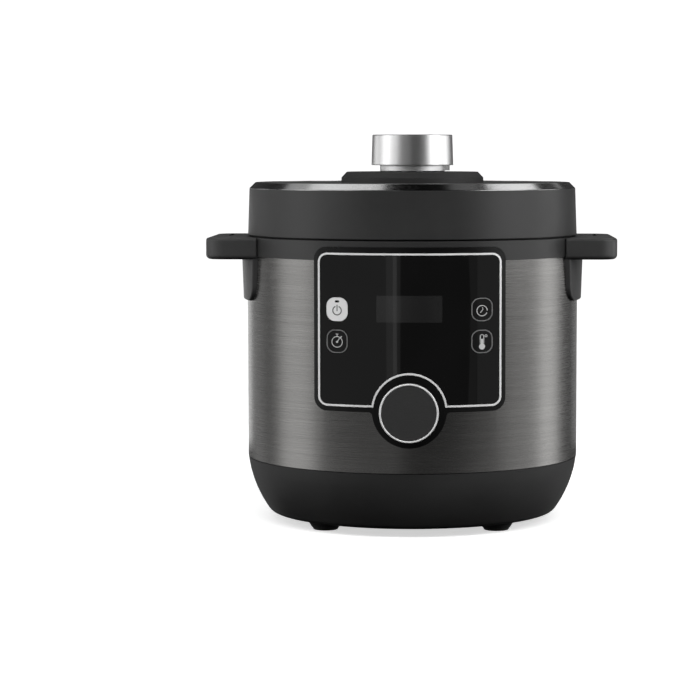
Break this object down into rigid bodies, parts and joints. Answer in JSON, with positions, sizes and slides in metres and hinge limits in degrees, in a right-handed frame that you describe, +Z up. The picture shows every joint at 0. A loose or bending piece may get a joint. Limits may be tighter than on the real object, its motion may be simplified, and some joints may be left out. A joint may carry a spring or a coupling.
{
  "type": "electric pressure cooker",
  "caption": "Round electric pressure cooker with a brushed sleeve, side handles, twist-locked lift-off lid with a central knob, removable pot, front keys and dial.",
  "frame": {"origin": "on the table, below the middle of the overall box, which is the axis of the pot within a millimetre", "axes": "+Z up, control panel faces -Y, handles along X"},
  "size_m": [0.33, 0.3112, 0.315],
  "materials": {
    "black_plastic": "satin",
    "bezel_plastic": "smooth satin",
    "base_plastic": "satin",
    "brushed_sleeve": "horizontal brushing, dark grey",
    "dark_chrome": "polished",
    "silver_trim": "satin plated",
    "gloss_panel": "glossy",
    "power_key_silver": "satin silver",
    "display_glass": "smoked glossy",
    "display_lcd": "unlit",
    "dial_grey": "spun satin",
    "knob_metal": "fine brushed",
    "knob_plastic": "satin",
    "rubber": "matte",
    "silicone": "satin, milky",
    "steel": "satin",
    "pot_steel": "brushed inside and out",
    "cast_aluminium": "cast, turned top",
    "element_steel": "oxidised",
    "fuse_body": "ceramic white",
    "switch_plastic": "phenolic",
    "inlet_plastic": "satin",
    "pin_brass": "plated",
    "board_green": "solder mask",
    "inner_plastic": "moulded",
    "shaft_metal": "turned",
    "cup_plastic": "clear smoke"
  },
  "bodies": {
    "housing": {"base_shell": "base_plastic", "bottom_cover": "base_plastic", "foot_pads": "rubber", "outer_sleeve": "brushed_sleeve", "collar": "black_plastic", "lug_ring": "steel", "handle_left": "black_plastic", "handle_right": "black_plastic", "housing_screws": "steel", "heat_shield": "steel", "heating_plate": "cast_aluminium", "heating_element": "element_steel", "sensor_guide": "steel", "sensor_spring": "steel", "thermal_fuse": "fuse_body", "pressure_switch": "switch_plastic", "power_inlet": "inlet_plastic", "inlet_pins": "pin_brass", "power_board": "board_green", "panel_bezel": "bezel_plastic", "panel_trim": "silver_trim", "panel_face": "gloss_panel", "display_window": "display_glass", "display_module": "display_lcd", "control_board": "board_green", "control_backplate": "inner_plastic", "encoder": "inner_plastic", "cup_bracket": "black_plastic"},
    "lid": {"lid_cover": "black_plastic", "lid_trim_ring": "dark_chrome", "lid_boss": "black_plastic", "lid_liner": "black_plastic", "lid_screws": "steel", "knob_bush": "knob_plastic", "pressure_lid": "steel", "seal_ring": "silicone", "lid_grommet": "rubber", "vent_nozzle": "steel", "anti_block_cap": "steel"},
    "knob": {"knob_cap": "knob_metal", "knob_neck": "knob_metal", "knob_core": "knob_plastic", "knob_spindle": "steel", "spindle_nut": "steel", "lock_ring": "steel"},
    "steam_valve": {"steam_valve": "knob_plastic"},
    "float_valve": {"float_pin": "steel", "float_seal": "rubber"},
    "pot": {"inner_pot": "pot_steel"},
    "sensor": {"sensor_cap": "cast_aluminium"},
    "power_key": {"power_button": "power_key_silver"},
    "timer_key": {"timer_button": "gloss_panel"},
    "delay_key": {"delay_button": "gloss_panel"},
    "temperature_key": {"temperature_button": "gloss_panel"},
    "dial": {"encoder_shaft": "shaft_metal", "dial_body": "black_plastic", "dial_face": "dial_grey", "dial_ring": "silver_trim"},
    "drip_cup": {"drip_cup": "cup_plastic"}
  },
  "joints": [
    {"name": "lid_lift", "type": "slide", "parent": "housing", "child": "lid", "axis": [0, 0, 1], "range_m": [0, 0.36]},
    {"name": "lid_lock", "type": "hinge", "parent": "lid", "child": "knob", "pos_m": [0, 0, 0.3], "axis": [0, 0, -1], "range_deg": [0, 30]},
    {"name": "steam_release", "type": "hinge", "parent": "lid", "child": "steam_valve", "pos_m": [0.02, 0.04, 0.288], "axis": [0, 0, 1], "range_deg": [0, 60]},
    {"name": "float_rise", "type": "slide", "parent": "lid", "child": "float_valve", "axis": [0, 0, 1], "range_m": [0, 0.0034]},
    {"name": "pot_lift", "type": "slide", "parent": "housing", "child": "pot", "axis": [0, 0, 1], "range_m": [0, 0.18]},
    {"name": "sensor_press", "type": "slide", "parent": "housing", "child": "sensor", "axis": [0, 0, -1], "range_m": [0, 0.0015], "stiffness_N_per_m": 250, "springref_m": -0.002, "deforming": ["sensor_spring"]},
    {"name": "power_key_press", "type": "slide", "parent": "housing", "child": "power_key", "axis": [0, 1, 0], "range_m": [0, 0.0007], "stiffness_N_per_m": 1500, "springref_m": -0.001},
    {"name": "timer_key_press", "type": "slide", "parent": "housing", "child": "timer_key", "axis": [0, 1, 0], "range_m": [0, 0.0007], "stiffness_N_per_m": 1500, "springref_m": -0.001},
    {"name": "delay_key_press", "type": "slide", "parent": "housing", "child": "delay_key", "axis": [0, 1, 0], "range_m": [0, 0.0007], "stiffness_N_per_m": 1500, "springref_m": -0.001},
    {"name": "temperature_key_press", "type": "slide", "parent": "housing", "child": "temperature_key", "axis": [0, 1, 0], "range_m": [0, 0.0007], "stiffness_N_per_m": 1500, "springref_m": -0.001},
    {"name": "dial_turn", "type": "hinge", "parent": "housing", "child": "dial", "pos_m": [0, -0.15, 0.1023], "axis": [0, -1, 0], "continuous": true},
    {"name": "cup_slide", "type": "slide", "parent": "housing", "child": "drip_cup", "axis": [0, 1, 0], "range_m": [0, 0.07]}
  ],
  "couplings": [
    {"joint": "pot_lift", "follows": "lid_lift", "ratio": 0.5}
  ]
}
